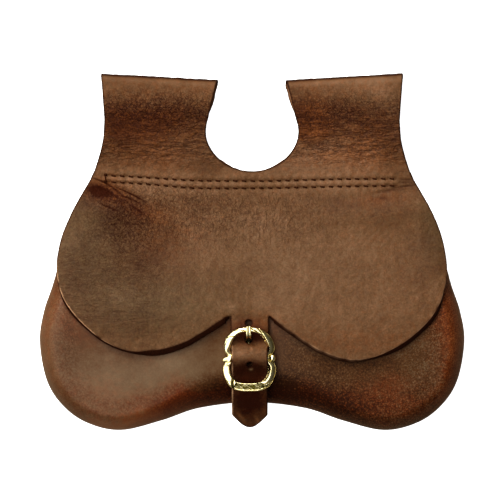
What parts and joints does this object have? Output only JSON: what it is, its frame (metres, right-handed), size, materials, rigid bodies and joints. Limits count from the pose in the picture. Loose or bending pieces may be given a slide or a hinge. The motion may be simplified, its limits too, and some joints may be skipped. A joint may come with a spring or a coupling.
{
  "type": "belt pouch",
  "caption": "Kidney-shaped leather belt pouch with two wide belt loops, a two-lobed flap and a strap in a brass double-loop buckle, lying on its back.",
  "frame": {"origin": "middle of the box that holds the pouch, on the surface it lies on", "axes": "+X to the right across the two belt loops as the flap is seen, +Y up towards the belt loops, +Z out of the flap, away from the surface it lies on"},
  "size_m": [0.2264, 0.1904, 0.0349],
  "materials": {
    "bag_leather": "brown oiled leather, moulded, satin sheen",
    "flap_leather": "brown oiled leather with fine grain and soft creases, satin sheen",
    "brass": "cast and polished yellow brass"
  },
  "bodies": {
    "root": {"front_panel": "bag_leather", "back_panel": "bag_leather", "flap": "flap_leather", "buckle_tab": "flap_leather", "buckle_frame": "brass", "buckle_pin": "brass"}
  },
  "joints": []
}
